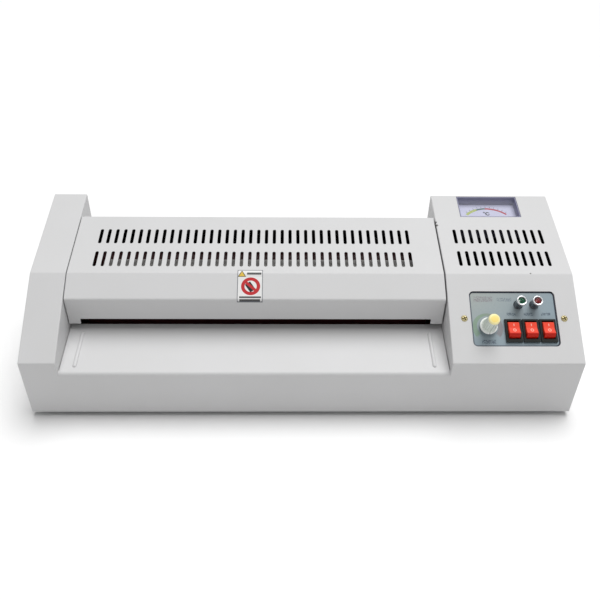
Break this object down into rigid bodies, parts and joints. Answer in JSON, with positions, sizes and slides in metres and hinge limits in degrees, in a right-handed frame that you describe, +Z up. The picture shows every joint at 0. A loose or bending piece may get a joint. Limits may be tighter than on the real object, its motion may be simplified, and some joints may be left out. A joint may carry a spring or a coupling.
{
  "type": "pouch laminator",
  "caption": "Desktop hot-roller pouch laminator: sheet-metal casing with a feed table between two towers, vented cover, heated roller pairs, gear drive and sloping control panel.",
  "frame": {"origin": "middle of the footprint, on the surface that the feet stand on", "axes": "+X along the rollers towards the control tower, -Y towards the feed table, +Z up"},
  "size_m": [0.49, 0.183, 0.1308],
  "materials": {
    "casing_paint": "fine textured powder coat, satin",
    "zinc_steel": "zinc plated, dull",
    "screw_steel": "zinc plated",
    "black_oxide": "black oxide on steel",
    "brass_screw": "yellow passivated zinc, bright",
    "chrome_ring": "polished",
    "foot_rubber": "matte",
    "black_plastic": "matte",
    "bezel_plastic": "satin black",
    "silicone_red": "satin silicone",
    "gear_nylon": "natural nylon, satin",
    "panel_print": "printed overlay, satin",
    "knob_plastic": "pale grey, satin",
    "cap_plastic": "yellow, glossy",
    "lens_green": "clear green, glossy",
    "lens_red": "clear red, glossy",
    "rocker_red": "red, satin with white marks",
    "meter_frame": "grey violet, satin",
    "dial_card": "printed scale",
    "clear_window": "clear acrylic",
    "label_film": "printed film, satin",
    "steel_shaft": "ground",
    "spring_steel": "drawn wire",
    "bronze": "sintered bronze",
    "bearing_resin": "heat-proof resin",
    "aluminium_shoe": "extruded",
    "heater_sheet": "mill finish sheet",
    "motor_zinc": "zinc plated can",
    "sensor_copper": "copper leaf",
    "board_green": "lacquered board",
    "core_steel": "varnished laminations",
    "terminal_resin": "natural resin"
  },
  "bodies": {
    "chassis": {"main_casing": "casing_paint", "center_cover": "casing_paint", "cover_screws": "screw_steel", "exit_plate": "casing_paint", "base_plate": "zinc_steel", "chassis_screws": "screw_steel", "feet": "foot_rubber", "cord_gland": "black_plastic", "safety_label": "label_film", "control_panel": "panel_print", "panel_screws": "brass_screw", "potentiometer": "motor_zinc", "lamp_bezels": "chrome_ring", "green_lamp_lens": "lens_green", "red_lamp_lens": "lens_red", "switch_housings": "bezel_plastic", "meter_housing": "meter_frame", "meter_dial": "dial_card", "meter_window": "clear_window", "left_side_frame": "zinc_steel", "right_side_frame": "zinc_steel", "tie_bars": "black_oxide", "lower_bushes": "bronze", "front_springs": "spring_steel", "rear_springs": "spring_steel", "pressure_screws": "screw_steel", "idler_stud": "steel_shaft", "gear_motor": "motor_zinc", "motor_bracket": "zinc_steel", "motor_screws": "screw_steel", "heater_plates": "aluminium_shoe", "heater_covers": "heater_sheet", "temperature_sensor": "sensor_copper", "circuit_board": "board_green", "transformer": "core_steel", "terminal_block": "terminal_resin"},
    "front_lower_roller": {"front_lower_shaft": "steel_shaft", "front_lower_sleeve": "silicone_red", "front_lower_gear": "gear_nylon", "drive_gear": "gear_nylon"},
    "front_upper_roller": {"front_upper_shaft": "steel_shaft", "front_upper_sleeve": "silicone_red", "front_upper_gear": "gear_nylon"},
    "rear_lower_roller": {"rear_lower_shaft": "steel_shaft", "rear_lower_sleeve": "silicone_red", "rear_lower_gear": "gear_nylon"},
    "rear_upper_roller": {"rear_upper_shaft": "steel_shaft", "rear_upper_sleeve": "silicone_red", "rear_upper_gear": "gear_nylon"},
    "front_carriage": {"front_bearing_blocks": "bearing_resin"},
    "rear_carriage": {"rear_bearing_blocks": "bearing_resin"},
    "idler": {"idler_gear": "gear_nylon"},
    "motor_output": {"motor_pinion": "gear_nylon"},
    "left_switch": {"left_rocker": "rocker_red"},
    "middle_switch": {"middle_rocker": "rocker_red"},
    "right_switch": {"right_rocker": "rocker_red"},
    "temperature_knob": {"knob": "knob_plastic", "knob_cap": "cap_plastic"},
    "needle": {"meter_needle": "black_plastic"}
  },
  "joints": [
    {"name": "front_lower_spin", "type": "hinge", "parent": "chassis", "child": "front_lower_roller", "pos_m": [-0.042, -0.0095, 0.05285], "axis": [1, 0, 0], "continuous": true},
    {"name": "front_carriage_float", "type": "slide", "parent": "chassis", "child": "front_carriage", "axis": [0, 0, 1], "range_m": [0, 0.0012], "stiffness_N_per_m": 8000, "springref_m": -0.003, "deforming": ["front_springs"]},
    {"name": "front_upper_spin", "type": "hinge", "parent": "front_carriage", "child": "front_upper_roller", "pos_m": [-0.042, -0.0095, 0.08115], "axis": [1, 0, 0], "continuous": true},
    {"name": "rear_lower_spin", "type": "hinge", "parent": "chassis", "child": "rear_lower_roller", "pos_m": [-0.042, 0.0345, 0.05285], "axis": [1, 0, 0], "continuous": true},
    {"name": "rear_carriage_float", "type": "slide", "parent": "chassis", "child": "rear_carriage", "axis": [0, 0, 1], "range_m": [0, 0.0012], "stiffness_N_per_m": 8000, "springref_m": -0.003, "deforming": ["rear_springs"]},
    {"name": "rear_upper_spin", "type": "hinge", "parent": "rear_carriage", "child": "rear_upper_roller", "pos_m": [-0.042, 0.0345, 0.08115], "axis": [1, 0, 0], "continuous": true},
    {"name": "idler_spin", "type": "hinge", "parent": "chassis", "child": "idler", "pos_m": [-0.227, 0.0125, 0.05285], "axis": [1, 0, 0], "continuous": true},
    {"name": "motor_spin", "type": "hinge", "parent": "chassis", "child": "motor_output", "pos_m": [0.137, 0.0175, 0.05285], "axis": [1, 0, 0], "continuous": true},
    {"name": "left_switch_rock", "type": "hinge", "parent": "chassis", "child": "left_switch", "pos_m": [0.185, -0.06507, 0.07982], "axis": [1, 0, 0], "range_deg": [0, 24]},
    {"name": "middle_switch_rock", "type": "hinge", "parent": "chassis", "child": "middle_switch", "pos_m": [0.2004, -0.06507, 0.07982], "axis": [1, 0, 0], "range_deg": [0, 24]},
    {"name": "right_switch_rock", "type": "hinge", "parent": "chassis", "child": "right_switch", "pos_m": [0.2158, -0.06507, 0.07982], "axis": [1, 0, 0], "range_deg": [0, 24]},
    {"name": "temperature_knob_turn", "type": "hinge", "parent": "chassis", "child": "temperature_knob", "pos_m": [0.1628, -0.06525, 0.08618], "axis": [0, -0.5273, 0.8497], "range_deg": [-280, 0]},
    {"name": "needle_swing", "type": "hinge", "parent": "chassis", "child": "needle", "pos_m": [0.1843, 0.04755, 0.116], "axis": [0, -0.2128, 0.9771], "range_deg": [-106, 0]}
  ],
  "couplings": [
    {"joint": "front_upper_spin", "follows": "front_lower_spin", "ratio": -1},
    {"joint": "rear_lower_spin", "follows": "front_lower_spin", "ratio": 1},
    {"joint": "rear_upper_spin", "follows": "front_lower_spin", "ratio": -1},
    {"joint": "idler_spin", "follows": "front_lower_spin", "ratio": -1.75},
    {"joint": "motor_spin", "follows": "front_lower_spin", "ratio": -2}
  ]
}
